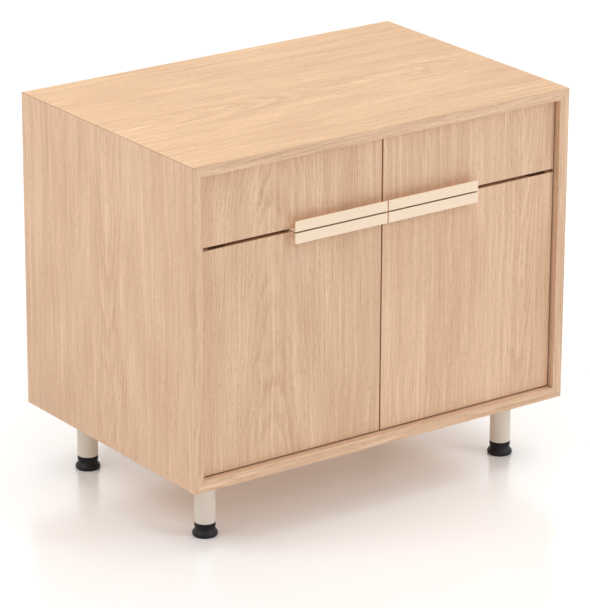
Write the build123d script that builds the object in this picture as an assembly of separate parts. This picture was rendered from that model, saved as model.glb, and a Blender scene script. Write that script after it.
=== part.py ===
from build123d import *
import os

# Nightstand: a mitred case on four legs, two drawers above two doors.
# Millimetres, +Z up, +X to the viewer's right, the fronts face -Y.
# The origin is on the floor, under the centre of the whole object's box.
# Paired parts are modelled on the right (+X) and mirrored to the left.

# Case
case_width = 762.0
case_depth = 504.5
case_height = 552.5
panel_thickness = 19.0
case_edge_round = 0.8

# Back panel, let into a rabbet
back_thickness = 6.0
back_inset = 1.0
rabbet_width = 8.0
rabbet_clearance = 0.3
back_screw_step_x = 220.0
back_screw_step_z = 170.0

# Drawer and door fronts
front_recess = 11.5
front_thickness = 19.0
reveal = 2.5
drawer_front_height = 119.5
front_edge_round = 0.6

# Angle pulls on the meeting edges of drawers and doors
pull_length = 184.5
pull_lip_height = 18.0
pull_thickness = 1.6
pull_projection = 16.5
pull_seat_depth = 15.0
pull_lip_gap = 2.2
pull_centre_gap = 3.0
pull_corner_round = 3.0
pull_bend_round = 1.0
pull_screw_inset = 30.0

# Boards inside the case
board_setback = 2.0
deck_thickness = 16.0
partition_thickness = 19.0
halving_clearance = 0.1
shelf_thickness = 16.0
shelf_setback = 20.0
shelf_back_gap = 2.0
shelf_side_gap = 1.0
shelf_height = 190.0

# Shelf pins and their holes
pin_diameter = 5.0
pin_hole_clearance = 0.05
pin_hole_depth = 8.5
pin_length = 16.0
pin_end_gap = 0.5
pin_chamfer = 0.4
pin_collar_diameter = 7.5
pin_collar_thickness = 0.8
pin_inset = 60.0
pin_pitch = 32.0

# Drawer boxes
box_length = 400.0
box_height = 88.0
box_board = 12.0
box_floor_gap = 9.0
bottom_thickness = 6.0
bottom_raise = 10.0
groove_depth = 6.0
groove_clearance = 0.1
box_edge_round = 1.5
front_screw_inset = 48.0
front_screw_low = 26.0
front_screw_high = 66.0

# Drawer slides, as long as the box: three nested channels running on rows of balls
slide_length = box_length
slide_thickness = 12.7
slide_height = 45.0
slide_steel = 1.2
slide_setback = 2.0
slide_bend_round = 1.0
slide_web_gap = 1.8
slide_tip_gap = 2.1
slide_inner_gap = 1.3
ball_diameter = 2.9
ball_clearance = 0.05
ball_pitch = 20.0
balls_per_strip = 8
ball_strip_width = 1.8
ball_strip_thickness = 1.2
slide_screw_inset = 35.0

# Pivot hinges at the outer corners of the doors
pivot_edge_distance = 9.0
pivot_face_distance = 5.0
pivot_pin_diameter = 4.0
pivot_pin_clearance = 0.05
pivot_shoulder_diameter = 7.0
pivot_shoulder_clearance = 0.1
pivot_top_gap = 1.0
pivot_pin_end = 1.0
hinge_plate_thickness = 2.0
hinge_plate_width = 14.0
hinge_plate_length = 60.0
hinge_plate_setback = 1.5
hinge_corner_round = 2.0
leaf_length = 48.0
leaf_width = 12.0
leaf_end_gap = 3.0
mortise_clearance = 0.1
hinge_screw_inset = 8.0
hinge_screw_pitch = 20.0

# Magnetic catches behind the doors' top edges
catch_width = 46.0
catch_body_width = 26.0
catch_depth = 14.0
catch_height = 14.0
catch_flange = 2.5
catch_offset = 36.0
catch_gap = 0.2
strike_width = 34.0
strike_height = 12.0
strike_thickness = 1.2
strike_top_gap = 1.0

# Legs
leg_height = 88.5
leg_diameter = 35.5
leg_wall = 2.0
leg_inset_side = 71.5
leg_inset_front = 75.0
leg_chamfer = 0.5
leg_plate_size = 74.0
leg_plate_thickness = 3.0
leg_plate_round = 9.0
leg_plate_screw_spacing = 54.0
leg_plug_height = 10.0

# Levelling feet
foot_height = 24.0
foot_base_diameter = 39.6
foot_flare_diameter = 43.0
foot_flare_height = 5.0
foot_neck_diameter = 33.6
foot_neck_height = 14.6
foot_collar_height = 7.0
foot_groove_depth = 0.7
foot_groove_width = 1.4
foot_groove_drop = 2.4
foot_base_rise = 1.5
foot_skirt_lean = 0.25
foot_collar_slope = 0.6
stud_diameter = 10.0
stud_clearance = 0.05
stud_reach = 32.0
stud_seat = 8.0
stud_chamfer = 1.0

# Screws: head diameter, head height, shank diameter, length under the top of the head
pull_screw = {"head": 6.6, "rise": 1.5, "shank": 3.5, "length": 18.0}
front_screw = {"head": 8.0, "rise": 2.2, "shank": 4.0, "length": 25.0}
panel_screw = {"head": 7.0, "rise": 1.8, "shank": 3.5, "length": 16.0}
hinge_screw = {"head": 6.0, "rise": 1.6, "shank": 3.0, "length": 14.0}
strike_screw = {"head": 5.0, "rise": 1.1, "shank": 2.5, "length": 11.0}
slide_screw = {"head": 6.4, "rise": 1.2, "shank": 3.5, "length": 11.0}
leg_screw = {"head": 9.0, "rise": 2.6, "shank": 5.0, "length": 16.0}
screw_clearance = 0.05
screw_rim = 0.2
screw_point_share = 0.3
recess_width = 0.8
recess_share = 0.55

# Places that follow from the sizes
lip_overhang = pull_projection - front_recess
case_front_y = -(case_depth + lip_overhang) / 2 + lip_overhang
case_back_y = case_front_y + case_depth
case_bottom_z = foot_height + leg_height
case_top_z = case_bottom_z + case_height
inner_half_width = case_width / 2 - panel_thickness
inner_bottom_z = case_bottom_z + panel_thickness
inner_top_z = case_top_z - panel_thickness
back_outer_y = case_back_y - back_inset
back_inner_y = back_outer_y - back_thickness

front_y = case_front_y + front_recess
front_back_y = front_y + front_thickness
board_front_y = front_back_y + board_setback
front_gap = 2 * pull_thickness + pull_lip_gap
drawer_front_top_z = inner_top_z - reveal
drawer_front_bottom_z = drawer_front_top_z - drawer_front_height
door_top_z = drawer_front_bottom_z - front_gap
door_bottom_z = inner_bottom_z + reveal
gap_middle_z = (drawer_front_bottom_z + door_top_z) / 2
front_outer_x = inner_half_width - reveal
front_inner_x = reveal / 2

deck_bottom_z = door_top_z + pivot_top_gap + hinge_plate_thickness
deck_top_z = deck_bottom_z + deck_thickness
partition_half = partition_thickness / 2
halving_y = (board_front_y + back_inner_y) / 2

shelf_bottom_z = inner_bottom_z + shelf_height
shelf_front_y = board_front_y + shelf_setback
shelf_back_y = back_inner_y - shelf_back_gap

box_outer_x = inner_half_width - slide_thickness
box_inner_x = partition_half + slide_thickness
box_back_y = front_back_y + box_length
box_bottom_z = deck_top_z + box_floor_gap
box_top_z = box_bottom_z + box_height
slide_z = (box_bottom_z + box_top_z) / 2
slide_front_y = front_back_y + slide_setback

pivot_x = front_outer_x - pivot_edge_distance
pivot_y = front_y + pivot_face_distance
catch_x = partition_half + catch_offset
catch_front_y = front_back_y + strike_thickness + catch_gap


def block(x0, x1, y0, y1, z0, z1):
    """Box between two corners."""
    middle = ((x0 + x1) / 2, (y0 + y1) / 2, (z0 + z1) / 2)
    return Pos(*middle) * Box(x1 - x0, y1 - y0, z1 - z0)


def upright(x, y, z0, z1, diameter):
    """Vertical cylinder from z0 to z1."""
    return Pos(x, y, (z0 + z1) / 2) * Cylinder(diameter / 2, z1 - z0)


def to_left(shape):
    """The left twin of a part modelled on the right."""
    return mirror(shape, about=Plane.YZ)


def softened(shape, radius):
    """The same board with its edges eased."""
    return fillet(shape.edges(), radius)


# Screws


def screw_outline(kind, grow, extra):
    """Countersunk screw with its head's top at z=0 and its tip down."""
    head = kind["head"] / 2 + grow
    shank = kind["shank"] / 2 + grow
    cone_end = -kind["rise"] - grow
    tip = -kind["length"] - extra
    point = shank * screw_point_share
    outline = Polyline(
        (0, 0), (head, 0), (head, -screw_rim), (shank, cone_end), (shank, tip + kind["shank"]),
        (point, tip), (0, tip), close=True,
    )
    return revolve(make_face(Plane.XZ * outline), Axis.Z)


def screw_body(kind):
    """Screw with a cross recess."""
    span = kind["head"] * recess_share
    depth = kind["rise"] * recess_share
    cross = Pos(0, 0, -depth / 2) * (Box(span, recess_width, depth) + Box(recess_width, span, depth))
    return screw_outline(kind, 0, 0) - cross


def screw_bore(kind):
    """What a screw takes out of the pieces it holds."""
    return screw_outline(kind, screw_clearance, screw_clearance)


def facing(point, outward):
    """Where a screw goes: the middle of its head's top, and the way the head faces."""
    return Plane(origin=point, z_dir=outward).location


def driven(places, kind):
    body = screw_body(kind)
    return [place * body for place in places]


def bored(shape, places, kind):
    bore = screw_bore(kind)
    return shape - [place * bore for place in places]


# Case panels


def case_block():
    """The closed outer shape of the case, with its edges eased."""
    solid = block(-case_width / 2, case_width / 2, case_front_y, case_back_y, case_bottom_z, case_top_z)
    return softened(solid, case_edge_round)


def mitred_section(outer, corner):
    """One panel's section between the case's middle lines: outer and inner face, 45 degrees at both ends."""
    middle_z = (case_bottom_z + case_top_z) / 2
    faces = {
        "top": [(-1, 1), (1, 1)],
        "bottom": [(1, -1), (-1, -1)],
        "right": [(1, 1), (1, -1)],
        "left": [(-1, -1), (-1, 1)],
    }[outer]
    far = [(sx * case_width / 2, middle_z + sz * case_height / 2) for sx, sz in faces]
    near = [(x - sx * corner, z - sz * corner) for (x, z), (sx, sz) in zip(far, faces)]
    return make_face(Plane.XZ * Polyline(*far, near[1], near[0], close=True))


def mitred_panel(outer):
    section = mitred_section(outer, panel_thickness)
    prism = extrude(section, amount=case_depth, both=True)
    half_width = inner_half_width + rabbet_width
    rabbet = block(
        -half_width, half_width, back_inner_y, case_back_y + 1,
        inner_bottom_z - rabbet_width, inner_top_z + rabbet_width,
    )
    return (case_block() & prism) - rabbet


def back_screw_places():
    """Screws round the edge of the back panel, into the shoulders of the rabbet."""
    line_x = inner_half_width + rabbet_width / 2
    low_z = inner_bottom_z - rabbet_width / 2
    high_z = inner_top_z + rabbet_width / 2
    middle_z = (low_z + high_z) / 2
    spots = [(k * back_screw_step_x, z) for z in (low_z, high_z) for k in (-1, 0, 1)]
    spots += [(x, middle_z + k * back_screw_step_z) for x in (-line_x, line_x) for k in (-1, 0, 1)]
    return [facing((x, back_outer_y, z), (0, 1, 0)) for x, z in spots]


def back_panel():
    half_width = inner_half_width + rabbet_width - rabbet_clearance
    low_z = inner_bottom_z - rabbet_width + rabbet_clearance
    high_z = inner_top_z + rabbet_width - rabbet_clearance
    board = block(-half_width, half_width, back_inner_y, back_outer_y, low_z, high_z)
    return bored(board, back_screw_places(), panel_screw)


def top_panel():
    return bored(mitred_panel("top"), back_screw_places(), panel_screw)


def bottom_panel():
    panel = mitred_panel("bottom")
    pocket = hinge_plate_outline(mortise_clearance, inner_bottom_z - hinge_plate_thickness, inner_bottom_z)
    panel = panel - [pocket, to_left(pocket)]
    panel = bored(panel, both_sides(bottom_plate_places), hinge_screw)
    panel = bored(panel, leg_screw_places(), leg_screw)
    return bored(panel, back_screw_places(), panel_screw)


def side_panel():
    """The right side panel, with its shelf pin holes and slide screw holes."""
    panel = mitred_panel("right")
    holes = [pin_hole(inner_half_width, y, z, 1) for y, z in pin_hole_rows()]
    panel = panel - holes
    panel = bored(panel, case_rail_places(inner_half_width, -1), slide_screw)
    return bored(panel, back_screw_places(), panel_screw)


# Deck, partition and shelves


def drawer_deck():
    """The fixed board between drawers and doors, slotted from behind for the partition."""
    board = block(-inner_half_width, inner_half_width, board_front_y, back_inner_y, deck_bottom_z, deck_top_z)
    half_slot = partition_half + halving_clearance
    slot = block(-half_slot, half_slot, halving_y, back_inner_y + 1, deck_bottom_z - 1, deck_top_z + 1)
    board = bored(board - slot, both_sides(top_plate_places), hinge_screw)
    return bored(board, both_sides(catch_screw_places), hinge_screw)


def centre_partition():
    """The upright board in the middle, slotted from the front for the deck."""
    board = block(-partition_half, partition_half, board_front_y, back_inner_y, inner_bottom_z, inner_top_z)
    slot = block(
        -partition_half - 1, partition_half + 1, board_front_y - 1, halving_y + halving_clearance,
        deck_bottom_z - halving_clearance, deck_top_z + halving_clearance,
    )
    board = board - slot
    holes = [pin_hole(partition_half, y, z, -1) for y, z in pin_hole_rows()]
    board = board - holes - [to_left(hole) for hole in holes]
    for side in (1, -1):
        board = bored(board, case_rail_places(side * partition_half, side), slide_screw)
    return board


def shelf():
    x0 = partition_half + shelf_side_gap
    x1 = inner_half_width - shelf_side_gap
    board = block(x0, x1, shelf_front_y, shelf_back_y, shelf_bottom_z, shelf_bottom_z + shelf_thickness)
    return softened(board, front_edge_round)


def pin_spots():
    """The y and z of the pins that the shelf rests on."""
    z = shelf_bottom_z - pin_diameter / 2
    return [(shelf_front_y + pin_inset, z), (shelf_back_y - pin_inset, z)]


def pin_hole_rows():
    """A column of holes at each pin, one pitch up and one down."""
    return [(y, z + k * pin_pitch) for y, z in pin_spots() for k in (-1, 0, 1)]


def pin_hole(face_x, y, z, into):
    """A blind hole that goes into a board from face_x, along +X or -X."""
    radius = pin_diameter / 2 + pin_hole_clearance
    middle = face_x + into * pin_hole_depth / 2
    return Pos(middle, y, z) * Rot(0, 90, 0) * Cylinder(radius, pin_hole_depth)


def shelf_pin(face_x, y, z, outward):
    """A pin with a thin collar that lies on the board's face."""
    inside = pin_hole_depth - pin_end_gap
    middle = face_x + outward * (pin_length / 2 - inside)
    stem = Pos(middle, y, z) * Rot(0, 90, 0) * Cylinder(pin_diameter / 2, pin_length)
    stem = chamfer(stem.edges(), pin_chamfer)
    collar_x = face_x + outward * pin_collar_thickness / 2
    collar = Pos(collar_x, y, z) * Rot(0, 90, 0) * Cylinder(pin_collar_diameter / 2, pin_collar_thickness)
    return stem + collar


def shelf_pins():
    pins = []
    for y, z in pin_spots():
        pins += [shelf_pin(inner_half_width, y, z, -1), shelf_pin(partition_half, y, z, 1)]
    return pins + [to_left(pin) for pin in pins]


# Drawer slides


def channel(web_x0, web_x1, tip_x, half_height):
    """A C-shaped rail along Y. Its web is flat between web_x0 and web_x1, its flanges reach to tip_x."""
    low_x, high_x = min(web_x0, tip_x), max(web_x1, tip_x)
    rail = block(low_x, high_x, 0, slide_length, -half_height, half_height)
    inner = half_height - slide_steel
    hollow_x0 = web_x1 if tip_x > web_x1 else low_x - 1
    hollow_x1 = high_x + 1 if tip_x > web_x1 else web_x0
    rail = rail - block(hollow_x0, hollow_x1, -1, slide_length + 1, -inner, inner)
    outer_edges = rail.edges().filter_by(Axis.Y).group_by(Axis.X)
    chosen = outer_edges[0] if tip_x > web_x1 else outer_edges[-1]
    return fillet(chosen, slide_bend_round)


def case_rail():
    """The member screwed to the case. x=0 is the face that it is screwed to."""
    rail = channel(0, slide_steel, slide_thickness - slide_tip_gap, slide_height / 2)
    return bored(rail, rail_screw_places(slide_steel, 1), slide_screw)


def middle_rail():
    web_x0 = slide_steel + slide_web_gap
    return channel(web_x0, web_x0 + slide_steel, slide_thickness - slide_tip_gap, middle_half_height())


def box_rail():
    """The member screwed to the drawer box."""
    tip_x = 2 * slide_steel + slide_web_gap + slide_inner_gap
    rail = channel(slide_thickness - slide_steel, slide_thickness, tip_x, box_rail_half_height())
    return bored(rail, rail_screw_places(slide_thickness - slide_steel, -1), slide_screw)


def ball_room():
    return ball_diameter + 2 * ball_clearance


def middle_half_height():
    return slide_height / 2 - slide_steel - ball_room()


def box_rail_half_height():
    return middle_half_height() - slide_steel - ball_room()


def ball_strip(x, z, y0):
    """A retainer strip with its balls, starting at y0."""
    length = ball_pitch * balls_per_strip
    strip = Pos(x, y0 + length / 2, z) * Box(ball_strip_width, length, ball_strip_thickness)
    balls = [Pos(x, y0 + (k + 0.5) * ball_pitch, z) * Sphere(ball_diameter / 2) for k in range(balls_per_strip)]
    return strip + balls


def ball_strips():
    """Two outer rows in the rear half of the middle rail and two inner rows in its front half."""
    row_x = slide_thickness / 2 + slide_steel
    outer_z = slide_height / 2 - slide_steel - ball_room() / 2
    inner_z = middle_half_height() - slide_steel - ball_room() / 2
    rear = slide_length - ball_pitch * (balls_per_strip + 1)
    rows = [(outer_z, rear), (inner_z, ball_pitch)]
    return [ball_strip(row_x, side * z, y0) for z, y0 in rows for side in (1, -1)]


def rail_screw_ys():
    return [slide_screw_inset, slide_length / 2, slide_length - slide_screw_inset]


def rail_screw_places(head_x, outward):
    """Screw heads stand on the rail's web, inside the channel."""
    top = head_x + outward * slide_screw["rise"]
    return [facing((top, y, 0), (outward, 0, 0)) for y in rail_screw_ys()]


def on_slide(shape, mirrored):
    """Moves a slide part from its own frame to the right drawer's inner or outer slide."""
    if mirrored:
        return Pos(inner_half_width, slide_front_y, slide_z) * mirror(shape, about=Plane.YZ)
    return Pos(partition_half, slide_front_y, slide_z) * shape


def slide_pair(shapes):
    return [on_slide(shape, mirrored) for mirrored in (False, True) for shape in shapes]


def case_rail_places(face_x, outward):
    """The case rails' screws, in the object's frame."""
    top = face_x + outward * (slide_steel + slide_screw["rise"])
    return [facing((top, slide_front_y + y, slide_z), (outward, 0, 0)) for y in rail_screw_ys()]


def box_rail_places():
    """The box rails' screws on both sides of the right drawer's box."""
    rise = slide_steel + slide_screw["rise"]
    inner = [facing((box_inner_x - rise, slide_front_y + y, slide_z), (-1, 0, 0)) for y in rail_screw_ys()]
    outer = [facing((box_outer_x + rise, slide_front_y + y, slide_z), (1, 0, 0)) for y in rail_screw_ys()]
    return inner + outer


# Drawers


def front_screw_places():
    """Screws from inside the box into the drawer front."""
    y = front_back_y + box_board
    xs = (box_inner_x + front_screw_inset, box_outer_x - front_screw_inset)
    zs = (box_bottom_z + front_screw_low, box_bottom_z + front_screw_high)
    return [facing((x, y, z), (0, 1, 0)) for x in xs for z in zs]


def drawer_front():
    board = block(front_inner_x, front_outer_x, front_y, front_back_y, drawer_front_bottom_z, drawer_front_top_z)
    board = softened(board, front_edge_round)
    board = bored(board, front_screw_places(), front_screw)
    return bored(board, pull_screw_places(), pull_screw)


def box_groove():
    """The groove round the inside of the box that holds its bottom."""
    return block(
        box_inner_x + box_board - groove_depth, box_outer_x - box_board + groove_depth,
        front_back_y + box_board - groove_depth, box_back_y - box_board + groove_depth,
        box_bottom_z + bottom_raise - groove_clearance,
        box_bottom_z + bottom_raise + bottom_thickness + groove_clearance,
    )


def box_bottom():
    fit = groove_depth - 2 * groove_clearance
    z0 = box_bottom_z + bottom_raise
    return block(
        box_inner_x + box_board - fit, box_outer_x - box_board + fit,
        front_back_y + box_board - fit, box_back_y - box_board + fit, z0, z0 + bottom_thickness,
    )


def eased_top(board):
    """A box board with its two long top edges eased."""
    return fillet(board.edges().group_by(Axis.Z)[-1].sort_by(SortBy.LENGTH)[-2:], box_edge_round)


def box_side(x0, x1):
    board = eased_top(block(x0, x1, front_back_y, box_back_y, box_bottom_z, box_top_z))
    return bored(board - box_groove(), box_rail_places(), slide_screw)


def box_end(y0, y1):
    x0, x1 = box_inner_x + box_board, box_outer_x - box_board
    return eased_top(block(x0, x1, y0, y1, box_bottom_z, box_top_z)) - box_groove()


def box_front():
    return bored(box_end(front_back_y, front_back_y + box_board), front_screw_places(), front_screw)


def box_back():
    return box_end(box_back_y - box_board, box_back_y)


# Pulls


def pull_screw_places():
    """The drawer pull's screws, driven up into the drawer front's lower edge."""
    x0 = pull_centre_gap / 2
    xs = (x0 + pull_screw_inset, x0 + pull_length / 2, x0 + pull_length - pull_screw_inset)
    y = front_y + front_thickness / 2
    z = drawer_front_bottom_z - pull_thickness
    return [facing((x, y, z), (0, 0, -1)) for x in xs]


def drawer_pull():
    """An angle: a flange under the drawer front and a lip that stands up before it."""
    x0 = pull_centre_gap / 2
    x1 = x0 + pull_length
    lip_y = front_y - pull_projection
    z0 = drawer_front_bottom_z - pull_thickness
    flange = block(x0, x1, lip_y, front_y + pull_seat_depth, z0, drawer_front_bottom_z)
    lip = block(x0, x1, lip_y, lip_y + pull_thickness, z0, z0 + pull_lip_height)
    angle = flange + lip
    bend = angle.edges().filter_by(Axis.X).sort_by(lambda edge: edge.center().Y + edge.center().Z)[0]
    angle = fillet(bend, pull_bend_round)
    corner = angle.edges().filter_by(Axis.Y).group_by(Axis.Z)[-1].sort_by(Axis.X)[-1]
    angle = fillet(corner, pull_corner_round)
    return bored(angle, pull_screw_places(), pull_screw)


def below_gap(shape):
    """The door's twin of a part above the gap between drawers and doors."""
    return mirror(shape, about=Plane.XY.offset(gap_middle_z))


def door_pull_screw_places():
    return [facing((place.position.X, place.position.Y, door_top_z + pull_thickness), (0, 0, 1))
            for place in pull_screw_places()]


# Pivot hinges


def hinge_plate_outline(grow, z0, z1):
    """A fixed plate's outline over the right door's pivot, grown for its pocket."""
    y0 = front_y + hinge_plate_setback
    half = hinge_plate_width / 2 + grow
    plate = block(pivot_x - half, pivot_x + half, y0 - grow, y0 + hinge_plate_length + grow, z0, z1)
    return fillet(plate.edges().filter_by(Axis.Z), hinge_corner_round)


def hinge_plate_ys():
    """The plate's screws lie behind the door, under or over a fixed board."""
    last = front_y + hinge_plate_setback + hinge_plate_length - hinge_screw_inset
    return [last - hinge_screw_pitch, last]


def top_plate_places():
    z = deck_bottom_z - hinge_plate_thickness
    return [facing((pivot_x, y, z), (0, 0, -1)) for y in hinge_plate_ys()]


def bottom_plate_places():
    return [facing((pivot_x, y, inner_bottom_z), (0, 0, 1)) for y in hinge_plate_ys()]


def top_pivot_plate():
    """Screwed under the deck: its pin points down into the door's top leaf."""
    z1 = deck_bottom_z
    z0 = z1 - hinge_plate_thickness
    plate = hinge_plate_outline(0, z0, z1)
    shoulder = upright(pivot_x, pivot_y, door_top_z + pivot_shoulder_clearance, z1, pivot_shoulder_diameter)
    pin_end = door_top_z - hinge_plate_thickness - pivot_pin_end
    pin = upright(pivot_x, pivot_y, pin_end, z1, pivot_pin_diameter)
    return bored(plate + shoulder + pin, top_plate_places(), hinge_screw)


def bottom_pivot_plate():
    """Let into the bottom panel: its pin points up into the door's bottom leaf."""
    z1 = inner_bottom_z
    z0 = z1 - hinge_plate_thickness
    plate = hinge_plate_outline(0, z0, z1)
    shoulder = upright(pivot_x, pivot_y, z0, door_bottom_z - pivot_shoulder_clearance, pivot_shoulder_diameter)
    pin_end = door_bottom_z + hinge_plate_thickness + pivot_pin_end
    pin = upright(pivot_x, pivot_y, z0, pin_end, pivot_pin_diameter)
    return bored(plate + shoulder + pin, bottom_plate_places(), hinge_screw)


def leaf_outline(grow, z0, z1):
    x1 = front_outer_x - leaf_end_gap
    y0 = front_y + hinge_plate_setback
    leaf = block(x1 - leaf_length - grow, x1 + grow, y0 - grow, y0 + leaf_width + grow, z0, z1)
    return fillet(leaf.edges().filter_by(Axis.Z), hinge_corner_round)


def leaf_screw_xs():
    last = front_outer_x - leaf_end_gap - leaf_length + hinge_screw_inset
    return [last, last + hinge_screw_pitch]


def leaf_places(z, outward):
    y = front_y + hinge_plate_setback + leaf_width / 2
    return [facing((x, y, z), (0, 0, outward)) for x in leaf_screw_xs()]


def all_leaf_places():
    return leaf_places(door_top_z, 1) + leaf_places(door_bottom_z, -1)


def leaf_bores():
    diameter = pivot_pin_diameter + 2 * pivot_pin_clearance
    reach = hinge_plate_thickness + 2 * pivot_pin_end
    return [
        upright(pivot_x, pivot_y, door_top_z - reach, door_top_z + 1, diameter),
        upright(pivot_x, pivot_y, door_bottom_z - 1, door_bottom_z + reach, diameter),
    ]


def pivot_leaves():
    """Two leaves let into the door's top and bottom edges, each with a hole for its pin."""
    top = leaf_outline(0, door_top_z - hinge_plate_thickness, door_top_z)
    bottom = leaf_outline(0, door_bottom_z, door_bottom_z + hinge_plate_thickness)
    return [bored(leaf - leaf_bores(), all_leaf_places(), hinge_screw) for leaf in (top, bottom)]


# Doors and catches


def strike_places():
    z = door_top_z - strike_top_gap - strike_height / 2
    y = front_back_y + strike_thickness
    step = strike_width / 2 - strike_height / 2
    return [facing((catch_x + k * step, y, z), (0, 1, 0)) for k in (-1, 1)]


def strike_plate():
    z1 = door_top_z - strike_top_gap
    half = strike_width / 2
    plate = block(
        catch_x - half, catch_x + half, front_back_y, front_back_y + strike_thickness, z1 - strike_height, z1,
    )
    plate = fillet(plate.edges().filter_by(Axis.Y), hinge_corner_round)
    return bored(plate, strike_places(), strike_screw)


def door():
    board = block(front_inner_x, front_outer_x, front_y, front_back_y, door_bottom_z, door_top_z)
    board = softened(board, front_edge_round)
    pockets = [
        leaf_outline(mortise_clearance, door_top_z - hinge_plate_thickness, door_top_z + 1),
        leaf_outline(mortise_clearance, door_bottom_z - 1, door_bottom_z + hinge_plate_thickness),
    ]
    board = board - pockets - leaf_bores()
    board = bored(board, all_leaf_places(), hinge_screw)
    board = bored(board, strike_places(), strike_screw)
    return bored(board, door_pull_screw_places(), pull_screw)


def catch_screw_places():
    """The right catch's screws, up through its flange into the deck."""
    y = catch_front_y + catch_depth / 2
    z = deck_bottom_z - catch_flange
    step = (catch_width + catch_body_width) / 4
    return [facing((catch_x + k * step, y, z), (0, 0, -1)) for k in (-1, 1)]


def door_catch():
    """A magnet housing under the deck, its face just short of the door's strike plate."""
    y0, y1 = catch_front_y, catch_front_y + catch_depth
    half, body_half = catch_width / 2, catch_body_width / 2
    flange = block(catch_x - half, catch_x + half, y0, y1, deck_bottom_z - catch_flange, deck_bottom_z)
    housing = block(catch_x - body_half, catch_x + body_half, y0, y1, deck_bottom_z - catch_height, deck_bottom_z)
    housing = fillet(housing.edges().filter_by(Axis.Z), hinge_corner_round / 2)
    return bored(flange + housing, catch_screw_places(), hinge_screw)


def both_sides(places):
    """The same screw places on the right and on the left."""
    right = places()
    left = []
    for place in right:
        point, plane = place.position, Plane(place)
        left.append(facing((-point.X, point.Y, point.Z), (-plane.z_dir.X, plane.z_dir.Y, plane.z_dir.Z)))
    return right + left


# Legs and feet


def leg_spots():
    """Leg axes by name."""
    x = case_width / 2 - leg_inset_side
    front = case_front_y + leg_inset_front
    back = case_back_y - leg_inset_front
    return {"front_left": (-x, front), "front_right": (x, front), "back_left": (-x, back), "back_right": (x, back)}


def leg_screw_places():
    step = leg_plate_screw_spacing / 2
    z = case_bottom_z - leg_plate_thickness
    return [
        facing((x + i * step, y + j * step, z), (0, 0, -1))
        for x, y in leg_spots().values() for i in (-1, 1) for j in (-1, 1)
    ]


def leg(x, y):
    """A tube welded to a square plate above and closed by a threaded plug below."""
    z0, z1 = foot_height, case_bottom_z
    tube = upright(x, y, z0, z1 - leg_plate_thickness, leg_diameter)
    tube = chamfer(tube.edges().group_by(Axis.Z)[0], leg_chamfer)
    half = leg_plate_size / 2
    plate = block(x - half, x + half, y - half, y + half, z1 - leg_plate_thickness, z1)
    plate = fillet(plate.edges().filter_by(Axis.Z), leg_plate_round)
    hollow = upright(x, y, z0 + leg_plug_height, z1 - leg_plate_thickness, leg_diameter - 2 * leg_wall)
    bore = upright(x, y, z0 - 1, z0 + leg_plug_height + 1, stud_diameter + 2 * stud_clearance)
    return bored(tube + plate - hollow - bore, leg_screw_places(), leg_screw)


def foot(x, y):
    """A moulded foot: rounded base, flared skirt, waist, and a grooved collar as wide as the leg."""
    base, flare, neck = foot_base_diameter / 2, foot_flare_diameter / 2, foot_neck_diameter / 2
    collar = leg_diameter / 2
    collar_z = foot_height - foot_collar_height
    groove_z1 = foot_height - foot_groove_drop
    groove_z0 = groove_z1 - foot_groove_width
    groove = collar - foot_groove_depth
    lower = ThreePointArc((base, 0), ((base + 2 * flare) / 3, foot_base_rise), (flare, foot_flare_height))
    skirt = Spline(
        (flare, foot_flare_height), (neck, foot_neck_height),
        tangents=[(-foot_skirt_lean, 1), (0, 1)],
    )
    rest = Polyline(
        (neck, foot_neck_height), (neck, collar_z - foot_collar_slope), (collar, collar_z),
        (collar, groove_z0), (groove, groove_z0), (groove, groove_z1), (collar, groove_z1),
        (collar, foot_height), (0, foot_height), (0, 0), (base, 0),
    )
    body = revolve(Plane.XZ * make_face([lower, skirt, rest]), Axis.Z)
    seat = upright(0, 0, stud_seat, foot_height + 1, stud_diameter + 2 * stud_clearance)
    return Pos(x, y, 0) * (body - seat)


def foot_stud(x, y):
    """The steel stud that screws up into the leg's plug."""
    stud = upright(x, y, stud_seat, foot_height + stud_reach, stud_diameter)
    return chamfer(stud.edges(), stud_chamfer)


def write(name, shape):
    """One file per node. A list of solids makes one group."""
    solid = Compound(children=list(shape)) if isinstance(shape, list) else shape
    export_step(solid, f"parts/{name}.step")


def write_case():
    write("top_panel", top_panel())
    write("bottom_panel", bottom_panel())
    write("right_side_panel", side_panel())
    write("left_side_panel", to_left(side_panel()))
    write("back_panel", back_panel())
    write("drawer_deck", drawer_deck())
    write("centre_partition", centre_partition())
    write("right_shelf", shelf())
    write("left_shelf", to_left(shelf()))
    write("shelf_pins", shelf_pins())
    rails = slide_pair([case_rail()])
    write("slide_case_rails", rails + [to_left(rail) for rail in rails])
    plates = [top_pivot_plate(), bottom_pivot_plate()]
    write("door_pivot_plates", plates + [to_left(plate) for plate in plates])
    write("door_catches", [door_catch(), to_left(door_catch())])
    rail_places = case_rail_places(inner_half_width, -1) + case_rail_places(partition_half, 1)
    screws = driven(rail_places, slide_screw)
    screws += driven(top_plate_places() + bottom_plate_places() + catch_screw_places(), hinge_screw)
    screws += [to_left(screw) for screw in screws]
    write("case_screws", screws + driven(back_screw_places(), panel_screw))
    write("leg_screws", driven(leg_screw_places(), leg_screw))


def write_pair(name, shape):
    """A part and its left twin."""
    write(f"right_{name}", shape)
    write(f"left_{name}", [to_left(solid) for solid in shape] if isinstance(shape, list) else to_left(shape))


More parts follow.
